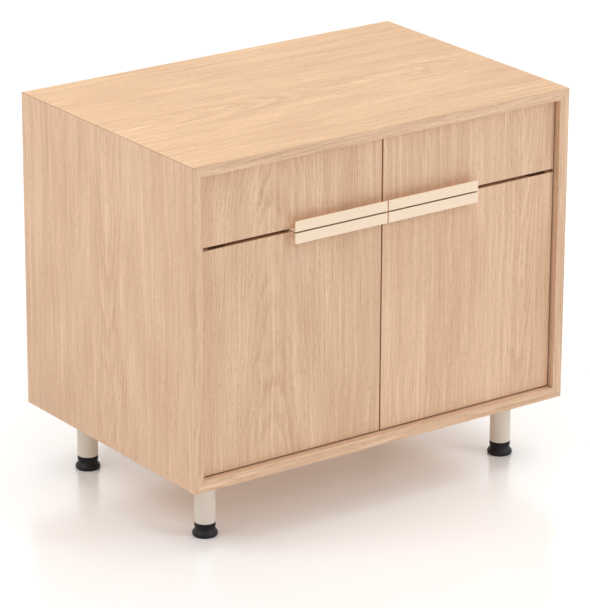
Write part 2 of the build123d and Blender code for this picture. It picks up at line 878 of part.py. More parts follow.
def write_drawers():
    write_pair("drawer_front", drawer_front())
    write_pair("drawer_box_front", box_front())
    write_pair("drawer_box_back", box_back())
    write_pair("drawer_box_outer_side", box_side(box_outer_x - box_board, box_outer_x))
    write_pair("drawer_box_inner_side", box_side(box_inner_x, box_inner_x + box_board))
    write_pair("drawer_box_bottom", box_bottom())
    write_pair("drawer_pull", drawer_pull())
    write_pair("drawer_slide_rails", slide_pair([box_rail()]))
    write_pair("drawer_middle_rails", slide_pair([middle_rail()]))
    write_pair("drawer_ball_strips", slide_pair(ball_strips()))
    screws = driven(front_screw_places(), front_screw) + driven(pull_screw_places(), pull_screw)
    write_pair("drawer_screws", screws + driven(box_rail_places(), slide_screw))


def write_doors():
    write_pair("door", door())
    write_pair("door_pull", below_gap(drawer_pull()))
    write_pair("door_pivot_leaves", pivot_leaves())
    write_pair("door_strike_plate", strike_plate())
    screws = driven(door_pull_screw_places(), pull_screw) + driven(all_leaf_places(), hinge_screw)
    write_pair("door_screws", screws + driven(strike_places(), strike_screw))


def write_legs():
    for name, (x, y) in leg_spots().items():
        write(f"{name}_leg", leg(x, y))
        write(f"{name}_foot", foot(x, y))
        write(f"{name}_foot_stud", foot_stud(x, y))


os.makedirs("parts", exist_ok=True)
write_case()
write_drawers()
write_doors()
write_legs()
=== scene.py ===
import math
import bmesh
import bpy
from mathutils import Matrix, Vector


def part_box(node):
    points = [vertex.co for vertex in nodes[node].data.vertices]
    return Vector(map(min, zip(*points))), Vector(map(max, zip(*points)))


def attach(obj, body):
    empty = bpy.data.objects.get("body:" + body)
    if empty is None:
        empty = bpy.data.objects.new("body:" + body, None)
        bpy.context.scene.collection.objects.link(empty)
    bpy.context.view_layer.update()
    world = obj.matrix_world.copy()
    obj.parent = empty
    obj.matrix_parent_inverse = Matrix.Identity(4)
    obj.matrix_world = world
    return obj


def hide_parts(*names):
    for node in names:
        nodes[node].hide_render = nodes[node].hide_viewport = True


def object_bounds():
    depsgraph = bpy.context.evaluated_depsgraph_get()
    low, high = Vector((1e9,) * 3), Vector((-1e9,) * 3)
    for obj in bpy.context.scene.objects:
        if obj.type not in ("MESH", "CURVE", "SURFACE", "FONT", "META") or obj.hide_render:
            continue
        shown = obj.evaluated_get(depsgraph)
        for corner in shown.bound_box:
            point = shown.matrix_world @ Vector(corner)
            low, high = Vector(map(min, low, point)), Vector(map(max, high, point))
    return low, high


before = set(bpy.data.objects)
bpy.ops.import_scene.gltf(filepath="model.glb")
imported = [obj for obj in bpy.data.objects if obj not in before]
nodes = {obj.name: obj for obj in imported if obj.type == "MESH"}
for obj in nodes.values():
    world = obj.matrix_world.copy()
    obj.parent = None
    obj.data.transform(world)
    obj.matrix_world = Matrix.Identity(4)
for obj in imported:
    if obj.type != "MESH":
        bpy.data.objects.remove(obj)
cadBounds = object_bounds()
print("frame loaded:", len(nodes), "pieces")


# Camera. Angles in degrees, the focal length in pixels of the 608 pixel high picture.
cameraView = {
    "place": (-3.5812, -4.96015, 2.5042),
    "turn": 35.8088,
    "down": 19.9264,
    "roll": 0.2202,
    "focal": 3830.8,
    "pictureHeight": 608,
    "sensorHeight": 36.0,
    "farthest": 100.0,
}


def makeCamera():
    data = bpy.data.cameras.new("photoCamera")
    data.sensor_fit = "VERTICAL"
    data.sensor_height = cameraView["sensorHeight"]
    data.lens = cameraView["focal"] * cameraView["sensorHeight"] / cameraView["pictureHeight"]
    data.clip_end = cameraView["farthest"]
    turn, down, roll = (math.radians(cameraView[name]) for name in ("turn", "down", "roll"))
    level = (math.sin(turn) * math.cos(down), math.cos(turn) * math.cos(down))
    forward = Vector((level[0], level[1], -math.sin(down)))
    right = forward.cross(Vector((0, 0, 1))).normalized()
    up = right.cross(forward)
    tiltedRight = right * math.cos(roll) + up * math.sin(roll)
    tiltedUp = up * math.cos(roll) - right * math.sin(roll)
    camera = bpy.data.objects.new("photoCamera", data)
    turned = Matrix((tiltedRight, tiltedUp, -forward)).transposed().to_4x4()
    camera.matrix_world = Matrix.Translation(cameraView["place"]) @ turned
    bpy.context.scene.collection.objects.link(camera)
    bpy.context.scene.camera = camera


makeCamera()
print("camera placed")


# Small helpers for shader nodes. A value is either a number, a colour or another node's socket.
def feed(tree, socket, value):
    if isinstance(value, bpy.types.NodeSocket):
        tree.links.new(value, socket)
    else:
        socket.default_value = value


def place(tree, kind, values=None, **settings):
    made = tree.nodes.new(kind)
    for name, value in settings.items():
        setattr(made, name, value)
    for name, value in (values or {}).items():
        feed(tree, made.inputs[name], value)
    return made


def maths(tree, operation, first, second=0.0, third=0.0, clamp=False):
    made = place(tree, "ShaderNodeMath", {0: first, 1: second, 2: third}, operation=operation)
    made.use_clamp = clamp
    return made.outputs[0]


def vectorMaths(tree, operation, first, second, output="Vector"):
    made = place(tree, "ShaderNodeVectorMath", {0: first, 1: second}, operation=operation)
    return made.outputs[output]


def parted(tree, vector):
    return place(tree, "ShaderNodeSeparateXYZ", {0: vector}).outputs


# How much detail a noise has: little for smooth waves, more for fine fibres
smoothDetail = 1.0
fineDetail = 3.0
# The value a noise swings round
noiseMiddle = 0.5


def noise(tree, vector, steps, detail=2.0, roughness=0.5):
    made = place(tree, "ShaderNodeTexNoise", {
        "Vector": vectorMaths(tree, "MULTIPLY", vector, steps), "Scale": 1.0, "Detail": detail,
        "Roughness": roughness,
    })
    return made.outputs["Fac"]


def eased(tree, value, limits, toLow=0.0, toHigh=1.0):
    made = place(tree, "ShaderNodeMapRange", {
        "Value": value, "From Min": limits[0], "From Max": limits[1], "To Min": toLow, "To Max": toHigh,
    }, interpolation_type="SMOOTHSTEP")
    return made.outputs[0]


def turnedRound(tree, mask):
    return maths(tree, "SUBTRACT", 1.0, mask)


def blended(tree, share, first, second, how="MIX"):
    made = place(tree, "ShaderNodeMix", data_type="RGBA", blend_type=how)
    feed(tree, made.inputs[0], share)
    feed(tree, made.inputs[6], first)
    feed(tree, made.inputs[7], second)
    return made.outputs[2]


def startGroup(name, inputs, outputs):
    tree = bpy.data.node_groups.new(name, "ShaderNodeTree")
    for label, kind, value in inputs:
        socket = tree.interface.new_socket(label, in_out="INPUT", socket_type="NodeSocket" + kind)
        if value is not None:
            socket.default_value = value
    for label, kind in outputs:
        tree.interface.new_socket(label, in_out="OUTPUT", socket_type="NodeSocket" + kind)
    return tree, tree.nodes.new("NodeGroupInput").outputs, tree.nodes.new("NodeGroupOutput").inputs


def useGroup(tree, group, values):
    made = tree.nodes.new("ShaderNodeGroup")
    made.node_tree = group
    for name, value in values.items():
        feed(tree, made.inputs[name], value)
    return made.outputs


def colour(red, green, blue):
    # from the 0 to 255 values of a picture to the shader's linear ones
    parts = [c / 255 for c in (red, green, blue)]
    return tuple(((c + 0.055) / 1.055) ** 2.4 if c > 0.04045 else c / 12.92 for c in parts) + (1.0,)


def shaded(tone, share):
    return tuple(part * share for part in tone[:3]) + (1.0,)


# Wood grain. The pattern's X runs with the grain, its Y into the board and its Z across the grain.
# How often each kind of mark changes along X, Y and Z, in steps per metre
grainSteps = {
    "slowWander": (2.4, 5.0, 5.0),
    "quickWander": (13.0, 16.0, 16.0),
    "ringRipple": (10.0, 60.0, 60.0),
    "ringFading": (5.0, 22.0, 22.0),
    "fibres": (8.0, 520.0, 520.0),
    "streaks": (4.5, 210.0, 210.0),
    "coarse": (3.5, 60.0, 60.0),
    "patches": (1.8, 9.0, 9.0),
    "glints": (4.0, 230.0, 230.0),
    "pores": (75.0, 2300.0, 2300.0),
}
# Between which values of its pattern each kind of mark fades in
grainLimits = {
    "ringStart": (0.0, 0.22),
    "ringEnd": (0.3, 0.9),
    "ringFading": (0.36, 0.6),
    "glints": (0.56, 0.68),
    "pores": (0.55, 0.66),
}
# How much each kind of mark counts
grainShares = {
    "quickWander": 0.35,
    "wanderInward": 0.6,
    "ringRipple": 1.4,
    "faintestRing": 0.3,
    "fibres": 0.8,
    "fibreFuzz": 0.6,
    "streaks": 1.1,
    "glints": 0.3,
    "poresInRing": 0.7,
    "poresOutside": 0.3,
    "roughness": 0.44,
    "roughFibres": 0.12,
    "roughPores": 0.2,
    "raisedFibres": 0.35,
}
# The sum of fibres, streaks and coarse marks that gives an even board, and its place between the tones
grainMiddle = {"marks": 1.45, "tone": 0.58}


def makeGrainGroup():
    tree, given, out = startGroup("woodGrain", [
        ("Place", "Vector", None),
        ("Ring", "Float", 0.005),
        ("Pith depth", "Float", 0.06),
        ("Pith slope", "Float", 0.02),
        ("Wander", "Float", 0.012),
        ("Bands", "Float", 0.3),
        ("Streaks", "Float", 1.0),
        ("Patches", "Float", 0.5),
        ("Pores", "Float", 0.5),
        ("Light tone", "Color", (0.8, 0.6, 0.4, 1)),
        ("Dark tone", "Color", (0.6, 0.4, 0.3, 1)),
        ("Pore tone", "Color", (0.4, 0.25, 0.15, 1)),
    ], [("Color", "Color"), ("Roughness", "Float"), ("Height", "Float")])

    def times(first, second):
        return maths(tree, "MULTIPLY", first, second)

    def timesPlus(first, second, third):
        return maths(tree, "MULTIPLY_ADD", first, second, third)

    def minus(first, second, clamp=False):
        return maths(tree, "SUBTRACT", first, second, clamp=clamp)

    # the fibres wander sideways by slow and quick waves
    slow = minus(noise(tree, given["Place"], grainSteps["slowWander"], smoothDetail), noiseMiddle)
    quick = minus(noise(tree, given["Place"], grainSteps["quickWander"], smoothDetail), noiseMiddle)
    sway = times(timesPlus(quick, grainShares["quickWander"], slow), given["Wander"])
    inwardSway = times(sway, grainShares["wanderInward"])
    shift = place(tree, "ShaderNodeCombineXYZ", {"Y": inwardSway, "Z": sway}).outputs[0]
    spot = vectorMaths(tree, "ADD", given["Place"], shift)
    axes = parted(tree, spot)
    # year rings round a pith that lies a little off the board's own direction
    sink = timesPlus(axes[0], given["Pith slope"], given["Pith depth"])
    inward = maths(tree, "ADD", sink, axes[1])
    span = maths(tree, "SQRT", maths(tree, "ADD", times(axes[2], axes[2]), times(inward, inward)))
    ripple = noise(tree, spot, grainSteps["ringRipple"])
    rings = maths(tree, "DIVIDE", span, given["Ring"])
    count = maths(tree, "ADD", rings, times(ripple, grainShares["ringRipple"]))
    phase = maths(tree, "FRACT", count)
    ringStart = eased(tree, phase, grainLimits["ringStart"])
    porous = times(ringStart, eased(tree, phase, grainLimits["ringEnd"], 1.0, 0.0))
    ownStrength = place(tree, "ShaderNodeTexWhiteNoise", {"W": maths(tree, "FLOOR", count)},
                        noise_dimensions="1D").outputs["Value"]
    fading = eased(tree, noise(tree, spot, grainSteps["ringFading"]), grainLimits["ringFading"])
    band = times(porous, times(fading, maths(tree, "ADD", ownStrength, grainShares["faintestRing"])))
    # streaks of three widths, pale glints, broad tone patches and pores
    fibres = noise(tree, spot, grainSteps["fibres"], fineDetail, grainShares["fibreFuzz"])
    streaks = noise(tree, spot, grainSteps["streaks"])
    coarse = noise(tree, spot, grainSteps["coarse"])
    patches = noise(tree, spot, grainSteps["patches"])
    glints = eased(tree, noise(tree, spot, grainSteps["glints"], smoothDetail), grainLimits["glints"])
    marks = timesPlus(fibres, grainShares["fibres"], timesPlus(streaks, grainShares["streaks"], coarse))
    tone = timesPlus(minus(marks, grainMiddle["marks"]), given["Streaks"], grainMiddle["tone"])
    tone = timesPlus(glints, times(given["Streaks"], grainShares["glints"]), tone)
    tone = timesPlus(minus(patches, noiseMiddle), given["Patches"], tone)
    tone = minus(tone, times(band, given["Bands"]), clamp=True)
    dashes = eased(tree, noise(tree, spot, grainSteps["pores"], smoothDetail), grainLimits["pores"])
    pores = times(dashes, timesPlus(porous, grainShares["poresInRing"], grainShares["poresOutside"]))
    pores = times(pores, given["Pores"])
    wood = blended(tree, tone, given["Dark tone"], given["Light tone"])
    feed(tree, out["Color"], blended(tree, pores, wood, given["Pore tone"]))
    rough = timesPlus(fibres, grainShares["roughFibres"], grainShares["roughness"])
    feed(tree, out["Roughness"], timesPlus(pores, grainShares["roughPores"], rough))
    feed(tree, out["Height"], timesPlus(pores, -1.0, times(fibres, grainShares["raisedFibres"])))
    return tree


# How near a point of a box-shaped piece lies to one of its edges, from 0 to 1
edgeWear = {"steps": (60.0, 60.0, 60.0), "least": 0.5}


def makeEdgeGroup():
    tree, given, out = startGroup("nearEdge", [
        ("Place", "Vector", None),
        ("Low", "Vector", None),
        ("High", "Vector", None),
        ("Width", "Float", 0.001),
    ], [("Mask", "Float")])
    fromLow = vectorMaths(tree, "SUBTRACT", given["Place"], given["Low"])
    toHigh = vectorMaths(tree, "SUBTRACT", given["High"], given["Place"])
    gaps = parted(tree, vectorMaths(tree, "MINIMUM", fromLow, toHigh))
    # an edge is where two of the three distances are small
    smaller = maths(tree, "MINIMUM", gaps[0], gaps[1])
    larger = maths(tree, "MAXIMUM", gaps[0], gaps[1])
    second = maths(tree, "MAXIMUM", smaller, maths(tree, "MINIMUM", larger, gaps[2]))
    uneven = noise(tree, given["Place"], edgeWear["steps"])
    width = maths(tree, "MULTIPLY", given["Width"], maths(tree, "ADD", uneven, edgeWear["least"]))
    away = eased(tree, maths(tree, "DIVIDE", second, width), (0.0, 1.0))
    feed(tree, out["Mask"], turnedRound(tree, away))
    return tree


# The four glue lines where the case's panels are mitred, and how far from its middle a line fades
mitreLimits = (0.4, 1.0)


def makeMitreGroup():
    tree, given, out = startGroup("mitreLine", [
        ("Place", "Vector", None),
        ("Middle", "Float", 0.4),
        ("Half width", "Float", 0.4),
        ("Half height", "Float", 0.3),
        ("Line", "Float", 0.0006),
    ], [("Mask", "Float")])
    axes = parted(tree, given["Place"])
    fromSide = maths(tree, "SUBTRACT", given["Half width"], maths(tree, "ABSOLUTE", axes[0]))
    height = maths(tree, "ABSOLUTE", maths(tree, "SUBTRACT", axes[2], given["Middle"]))
    fromTop = maths(tree, "SUBTRACT", given["Half height"], height)
    off = maths(tree, "ABSOLUTE", maths(tree, "SUBTRACT", fromSide, fromTop))
    away = eased(tree, maths(tree, "DIVIDE", off, given["Line"]), mitreLimits)
    feed(tree, out["Mask"], turnedRound(tree, away))
    return tree


# Fine skin of paint or moulded plastic: a faint change of tone and a low bump
skinShares = {"speckle": 0.5, "patches": 0.5}
skinPatchSteps = (14.0, 14.0, 14.0)


def makeSkinGroup():
    tree, given, out = startGroup("fineSkin", [
        ("Place", "Vector", None),
        ("Tone", "Color", (0.5, 0.5, 0.5, 1)),
        ("Change", "Float", 0.06),
        ("Rough", "Float", 0.4),
        ("Stretch", "Vector", (1, 1, 1)),
        ("Size", "Float", 900.0),
    ], [("Color", "Color"), ("Roughness", "Float"), ("Height", "Float")])
    drawn = vectorMaths(tree, "MULTIPLY", given["Place"], given["Stretch"])
    speckle = place(tree, "ShaderNodeTexNoise", {
        "Vector": drawn, "Scale": given["Size"], "Detail": fineDetail,
    }).outputs["Fac"]
    patches = noise(tree, given["Place"], skinPatchSteps, fineDetail)
    ownPatches = maths(tree, "MULTIPLY", patches, skinShares["patches"])
    mixed = maths(tree, "MULTIPLY_ADD", speckle, skinShares["speckle"], ownPatches)
    amount = maths(tree, "MULTIPLY", maths(tree, "SUBTRACT", mixed, noiseMiddle), given["Change"])
    factor = maths(tree, "ADD", amount, 1.0)
    grey = place(tree, "ShaderNodeCombineColor", {0: factor, 1: factor, 2: factor}).outputs[0]
    feed(tree, out["Color"], blended(tree, 1.0, given["Tone"], grey, "MULTIPLY"))
    feed(tree, out["Roughness"], maths(tree, "ADD", given["Rough"], amount))
    feed(tree, out["Height"], speckle)
    return tree


# Limits between which a mask fades as a face turns away
faceLimits = (0.3, 0.7)


# Layers of thin wood that show on the cut edges of a board, and where one layer fades into the next
layerLimits = (0.17, 0.33)


def makePlyGroup():
    tree, given, out = startGroup("plyEdge", [
        ("Place", "Vector", None),
        ("Facing", "Vector", None),
        ("Through", "Vector", (1, 0, 0)),
        ("Layer", "Float", 0.0015),
    ], [("Mask", "Float"), ("Cut", "Float")])
    depth = vectorMaths(tree, "DOT_PRODUCT", given["Place"], given["Through"], "Value")
    facing = vectorMaths(tree, "DOT_PRODUCT", given["Facing"], given["Through"], "Value")
    cut = eased(tree, maths(tree, "ABSOLUTE", facing), faceLimits, 1.0, 0.0)
    turns = maths(tree, "DIVIDE", depth, given["Layer"])
    wave = maths(tree, "ABSOLUTE", maths(tree, "SUBTRACT", maths(tree, "FRACT", turns), 0.5))
    layer = eased(tree, wave, layerLimits)
    feed(tree, out["Mask"], maths(tree, "MULTIPLY", layer, cut))
    feed(tree, out["Cut"], cut)
    return tree


woodGrain = makeGrainGroup()
nearEdge = makeEdgeGroup()
mitreLine = makeMitreGroup()
fineSkin = makeSkinGroup()
plyEdge = makePlyGroup()
print("shader groups built")


def startMaterial(name):
    material = bpy.data.materials.new(name)
    material.use_nodes = True
    tree = material.node_tree
    coordinates = tree.nodes.new("ShaderNodeTexCoord").outputs
    return material, tree, tree.nodes["Principled BSDF"], coordinates["Object"], coordinates["Normal"]


def addBump(tree, surface, height, look):
    bump = place(tree, "ShaderNodeBump", {
        "Height": height, "Strength": look["bump"], "Distance": look["depth"],
    })
    feed(tree, surface.inputs["Normal"], bump.outputs[0])


# Turns of the grain pattern onto a board, in degrees
grainTurns = {
    "alongX": (90, 0, 0),
    "alongY": (0, 0, -90),
    "upOnFront": (0, 90, 0),
    "upOnSide": (90, 0, 90),
}

# Lengths in metres
oakLook = {
    "lightTone": colour(244, 209, 176),
    "darkTone": colour(208, 166, 135),
    "poreTone": colour(176, 132, 99),
    "seamTone": colour(150, 108, 78),
    "gapShadeTone": colour(180, 120, 68),
    "leafTint": (1.0, 0.976, 0.877, 1.0),
    "ring": 0.0036,
    "bands": 0.22,
    "streaks": 0.72,
    "patches": 0.6,
    "pores": 0.6,
    "wander": 0.02,
    "mitreWidth": 0.0008,
    "seamOutside": 0.75,
    "seamOnFront": 0.3,
    "gapShadeShare": 0.6,
    "edgeWidth": 0.0011,
    "edgeShare": 0.35,
    "sheen": 0.22,
    "bump": 0.35,
    "depth": 0.0004,
}

# Each board's grain: its turn, where its pattern starts (along, into, across), and the pith below it.
# A few boards are made a shade darker or lighter than the others.
oakBoards = {
    "top_panel": {"turn": "alongX", "start": (0.30, 0.665, 0.02), "pith": 0.12, "slope": 0.05},
    "bottom_panel": {"turn": "alongX", "start": (2.10, 0.0, 0.10), "pith": 0.09, "slope": 0.03},
    "left_side_panel": {"turn": "upOnSide", "start": (-0.10, 0.381, 0.0), "pith": 0.10, "slope": -0.05,
                        "shade": 0.99},
    "right_side_panel": {"turn": "upOnSide", "start": (1.30, -0.381, 0.06), "pith": 0.07, "slope": 0.04},
    "back_panel": {"turn": "upOnFront", "start": (4.00, -0.25, 0.11), "pith": 0.08, "slope": 0.03},
    "drawer_deck": {"turn": "alongX", "start": (5.20, 0.5, 0.20), "pith": 0.10, "slope": 0.02},
    "centre_partition": {"turn": "upOnSide", "start": (6.10, 0.0, 0.15), "pith": 0.10, "slope": 0.03},
    "left_shelf": {"turn": "alongX", "start": (7.30, 0.3, 0.05), "pith": 0.08, "slope": 0.04},
    "right_shelf": {"turn": "alongX", "start": (8.90, 0.3, -0.08), "pith": 0.08, "slope": -0.03},
    "left_drawer_front": {"turn": "upOnFront", "start": (0.00, 0.237, -0.216), "pith": 0.12, "slope": 0.05},
    "left_door": {"turn": "upOnFront", "start": (0.00, 0.237, -0.216), "pith": 0.12, "slope": 0.05,
                  "shade": 0.97},
    "right_drawer_front": {"turn": "upOnFront", "start": (1.00, 0.237, 0.29), "pith": 0.12, "slope": -0.05},
    "right_door": {"turn": "upOnFront", "start": (1.00, 0.237, 0.29), "pith": 0.12, "slope": -0.05,
                   "shade": 1.015},
}
casePanels = ["top_panel", "bottom_panel", "left_side_panel", "right_side_panel"]
frontPanels = ["left_drawer_front", "right_drawer_front", "left_door", "right_door"]


def boardPattern(tree, spot, board, look):
    shade = board.get("shade", 1.0)
    turns = [math.radians(angle) for angle in grainTurns[board["turn"]]]
    mapped = place(tree, "ShaderNodeMapping", {"Vector": spot, "Location": board["start"], "Rotation": turns})
    return useGroup(tree, woodGrain, {
        "Place": mapped.outputs[0],
        "Ring": look["ring"],
        "Pith depth": board["pith"],
        "Pith slope": board["slope"],
        "Wander": look["wander"],
        "Bands": look["bands"],
        "Streaks": look["streaks"],
        "Patches": look["patches"],
        "Pores": look["pores"],
        "Light tone": shaded(look["lightTone"], shade),
        "Dark tone": shaded(look["darkTone"], shade),
        "Pore tone": shaded(look["poreTone"], shade),
    })


def mitreShare(tree, spot, facing):
    high = cadBounds[1]
    middle = (high.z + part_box("bottom_panel")[0].z) / 2
    seam = useGroup(tree, mitreLine, {
        "Place": spot, "Middle": middle, "Half width": high.x, "Half height": high.z - middle,
        "Line": oakLook["mitreWidth"],
    })
    strength = eased(tree, facing, faceLimits, oakLook["seamOutside"], oakLook["seamOnFront"])
    return maths(tree, "MULTIPLY", seam["Mask"], strength)


def oakMaterial(nodeName, board):
    material, tree, surface, spot, normal = startMaterial("oak_" + nodeName)
    grain = boardPattern(tree, spot, board, oakLook)
    low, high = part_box(nodeName)
    edge = useGroup(tree, nearEdge, {"Place": spot, "Low": low, "High": high, "Width": oakLook["edgeWidth"]})
    share = maths(tree, "MULTIPLY", edge["Mask"], oakLook["edgeShare"])
    tone = blended(tree, share, grain["Color"], oakLook["poreTone"])
    outward = parted(tree, normal)
    facing = maths(tree, "ABSOLUTE", outward[1])
    if nodeName == "top_panel":
        # the leaf of veneer on the top is a little yellower than the rest
        upward = eased(tree, outward[2], faceLimits)
        tone = blended(tree, upward, tone, oakLook["leafTint"], "MULTIPLY")
    if nodeName in frontPanels:
        # painted shade: the fronts' edges, which at rest show only in the gaps between fronts, are painted
        # darker and browner than the faces to stand in for the shade in those gaps
        gapShaded = eased(tree, facing, faceLimits, oakLook["gapShadeShare"], 0.0)
        tone = blended(tree, gapShaded, tone, oakLook["gapShadeTone"])
    if nodeName in casePanels:
        tone = blended(tree, mitreShare(tree, spot, facing), tone, oakLook["seamTone"])
    feed(tree, surface.inputs["Base Color"], tone)
    feed(tree, surface.inputs["Roughness"], grain["Roughness"])
    surface.inputs["Specular IOR Level"].default_value = oakLook["sheen"]
    addBump(tree, surface, grain["Height"], oakLook)
    return material


def dress(nodeName, material):
    mesh = nodes[nodeName].data
    mesh.materials.clear()
    mesh.materials.append(material)


for name, board in oakBoards.items():
    dress(name, oakMaterial(name, board))
print("oak boards finished")


# Drawer boxes: pale birch boards, with their layers on the cut edges. Lengths in metres.
birchLook = {
    "lightTone": colour(246, 221, 184),
    "darkTone": colour(222, 190, 150),
    "poreTone": colour(196, 160, 120),
    "layerTone": colour(178, 138, 98),
    "ring": 0.009,
    "bands": 0.3,
    "streaks": 0.5,
    "patches": 0.8,
    "pores": 0.25,
    "wander": 0.06,
    "layer": 0.0015,
    "layerShare": 0.7,
    "cutRoughness": 0.1,
    "sheen": 0.35,
    "bump": 0.25,
    "depth": 0.0003,
}
boxBoards = {
    "box_front": {"turn": "alongX", "through": (0, 1, 0), "start": (0.2, 0.1, 0.4)},
    "box_back": {"turn": "alongX", "through": (0, 1, 0), "start": (1.4, 0.3, 0.1)},
    "box_outer_side": {"turn": "alongY", "through": (1, 0, 0), "start": (2.2, 0.2, 0.3)},
    "box_inner_side": {"turn": "alongY", "through": (1, 0, 0), "start": (3.7, 0.5, 0.2)},
    "box_bottom": {"turn": "alongX", "through": (0, 0, 1), "start": (4.1, 0.2, 0.5)},
}
boxPith = {"pith": 0.15, "slope": 0.03}


def birchMaterial(name, board):
    material, tree, surface, spot, normal = startMaterial(name)
    grain = boardPattern(tree, spot, {**board, **boxPith}, birchLook)
    layers = useGroup(tree, plyEdge, {
        "Place": spot, "Facing": normal, "Through": board["through"], "Layer": birchLook["layer"],
    })
    share = maths(tree, "MULTIPLY", layers["Mask"], birchLook["layerShare"])
    feed(tree, surface.inputs["Base Color"], blended(tree, share, grain["Color"], birchLook["layerTone"]))
    rough = maths(tree, "MULTIPLY_ADD", layers["Cut"], birchLook["cutRoughness"], grain["Roughness"])
    feed(tree, surface.inputs["Roughness"], rough)
    surface.inputs["Specular IOR Level"].default_value = birchLook["sheen"]
    addBump(tree, surface, grain["Height"], birchLook)
    return material


for side in ("left", "right"):
    for part, board in boxBoards.items():
        name = f"{side}_drawer_{part}"
        dress(name, birchMaterial("birch_" + name, board))
print("drawer boxes finished")


# Painted, plated and moulded pieces. Each look says where it differs from the plain paint.
plainPaint = {
    "rough": 0.34,
    "change": 0.05,
    "size": 900.0,
    "metal": 0.0,
    "stretch": (1.0, 1.0, 1.0),
    "bump": 0.10,
    "depth": 0.0001,
    "shine": 0.5,
}
skinLooks = {
    "creamPull": {"tone": colour(251, 227, 199), "size": 1.0, "stretch": (30.0, 1500.0, 1500.0)},
    "legPaint": {"tone": colour(230, 219, 205), "rough": 0.36},
    "footPlastic": {"tone": colour(27, 24, 25), "rough": 0.45, "change": 0.2, "size": 1400.0, "bump": 0.15,
                    "shine": 0.2},
    "catchPlastic": {"tone": colour(214, 212, 205), "rough": 0.45, "size": 1200.0},
    "zincRail": {"tone": colour(196, 198, 200), "change": 0.16, "size": 1.0, "metal": 1.0,
                 "stretch": (900.0, 14.0, 900.0), "bump": 0.12},
    "bronzedPlate": {"tone": colour(150, 110, 78), "rough": 0.42, "change": 0.2, "size": 260.0, "metal": 0.3,
                     "bump": 0.06, "shine": 0.4},
    "zincPlate": {"tone": colour(202, 203, 204), "rough": 0.32, "change": 0.14, "size": 260.0, "metal": 1.0,
                  "bump": 0.06},
    "screwSteel": {"tone": colour(190, 190, 186), "rough": 0.28, "change": 0.18, "size": 700.0, "metal": 1.0,
                   "bump": 0.05},
    "nickelPin": {"tone": colour(208, 206, 200), "rough": 0.2, "change": 0.1, "size": 500.0, "metal": 1.0,
                  "bump": 0.03},
    "ballSteel": {"tone": colour(214, 216, 219), "rough": 0.12, "change": 0.08, "size": 400.0, "metal": 1.0,
                  "bump": 0.02},
}

# Painted shade: the pulls' colour is darkened inside the narrow slot between an upper and a lower pull,
# standing in for the shade in that slot.
# The shade starts to fade at fadesFrom behind the lips and ends at reach, in metres.
pullSlotShade = {
    "tone": colour(196, 171, 138),
    "past": 0.0003,
    "fadesFrom": 0.0032,
    "reach": 0.008,
    "levelLimits": (0.3, 0.9),
}


def slotShadeShare(tree, spot, normal):
    drawerPull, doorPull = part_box("left_drawer_pull"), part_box("left_door_pull")
    middle = (drawerPull[0].z + doorPull[1].z) / 2
    half = (drawerPull[0].z - doorPull[1].z) / 2 + pullSlotShade["past"]
    front = doorPull[0].y
    axes = parted(tree, spot)
    level = eased(tree, maths(tree, "ABSOLUTE", parted(tree, normal)[2]), pullSlotShade["levelLimits"])
    near = maths(tree, "LESS_THAN", maths(tree, "ABSOLUTE", maths(tree, "SUBTRACT", axes[2], middle)), half)
    shallow = eased(tree, axes[1], (front + pullSlotShade["fadesFrom"], front + pullSlotShade["reach"]), 1.0, 0.0)
    return maths(tree, "MULTIPLY", maths(tree, "MULTIPLY", level, near), shallow)


def skinMaterial(name, look):
    material, tree, surface, spot, normal = startMaterial(name)
    skin = useGroup(tree, fineSkin, {
        "Place": spot, "Tone": look["tone"], "Change": look["change"], "Rough": look["rough"],
        "Stretch": look["stretch"], "Size": look["size"],
    })
    tone = skin["Color"]
    if name == "creamPull":
        # painted shade inside the slot between the pulls
        tone = blended(tree, slotShadeShare(tree, spot, normal), tone, pullSlotShade["tone"])
    feed(tree, surface.inputs["Base Color"], tone)
    feed(tree, surface.inputs["Roughness"], skin["Roughness"])
    surface.inputs["Metallic"].default_value = look["metal"]
    surface.inputs["Specular IOR Level"].default_value = look["shine"]
    addBump(tree, surface, skin["Height"], look)
    return material


skins = {name: skinMaterial(name, {**plainPaint, **look}) for name, look in skinLooks.items()}
corners = ["front_left", "front_right", "back_left", "back_right"]
caseSkins = {
    "shelf_pins": "nickelPin",
    "slide_case_rails": "zincRail",
    "door_pivot_plates": "bronzedPlate",
    "door_catches": "catchPlastic",
    "case_screws": "screwSteel",
    "leg_screws": "screwSteel",
}
cornerSkins = {"leg": "legPaint", "foot": "footPlastic", "foot_stud": "screwSteel"}
sideSkins = {
    "drawer_pull": "creamPull",
    "door_pull": "creamPull",
    "drawer_slide_rails": "zincRail",
    "drawer_middle_rails": "zincRail",
    "drawer_ball_strips": "ballSteel",
    "drawer_screws": "screwSteel",
    "door_screws": "screwSteel",
    "door_pivot_leaves": "bronzedPlate",
    "door_strike_plate": "zincPlate",
}
for name, skin in caseSkins.items():
    dress(name, skins[skin])
for places, pieceSkins in ((corners, cornerSkins), (["left", "right"], sideSkins)):
    for spotName in places:
        for piece, skin in pieceSkins.items():
            dress(spotName + "_" + piece, skins[skin])
bare = [name for name, shape in nodes.items() if not shape.data.materials]
print("painted and plated pieces finished; left bare:", bare)


def finishMesh(bm, name, material, smooth=True):
    mergeDistance = 1e-6
    bmesh.ops.remove_doubles(bm, verts=bm.verts, dist=mergeDistance)
    bmesh.ops.recalc_face_normals(bm, faces=bm.faces)
    mesh = bpy.data.meshes.new(name)
    bm.to_mesh(mesh)
    bm.free()
    for polygon in mesh.polygons:
        polygon.use_smooth = smooth
    mesh.materials.append(material)
    shape = bpy.data.objects.new(name, mesh)
    bpy.context.scene.collection.objects.link(shape)
    return shape


# Threaded studs in place of the plain ones, in metres
studThread = {
    "pitch": 0.0015,
    "depth": 0.0008,
    "crest": 0.0002,
    "stepsInTurn": 24,
    "stepsInPitch": 4,
    "endTaper": 0.0010,
}


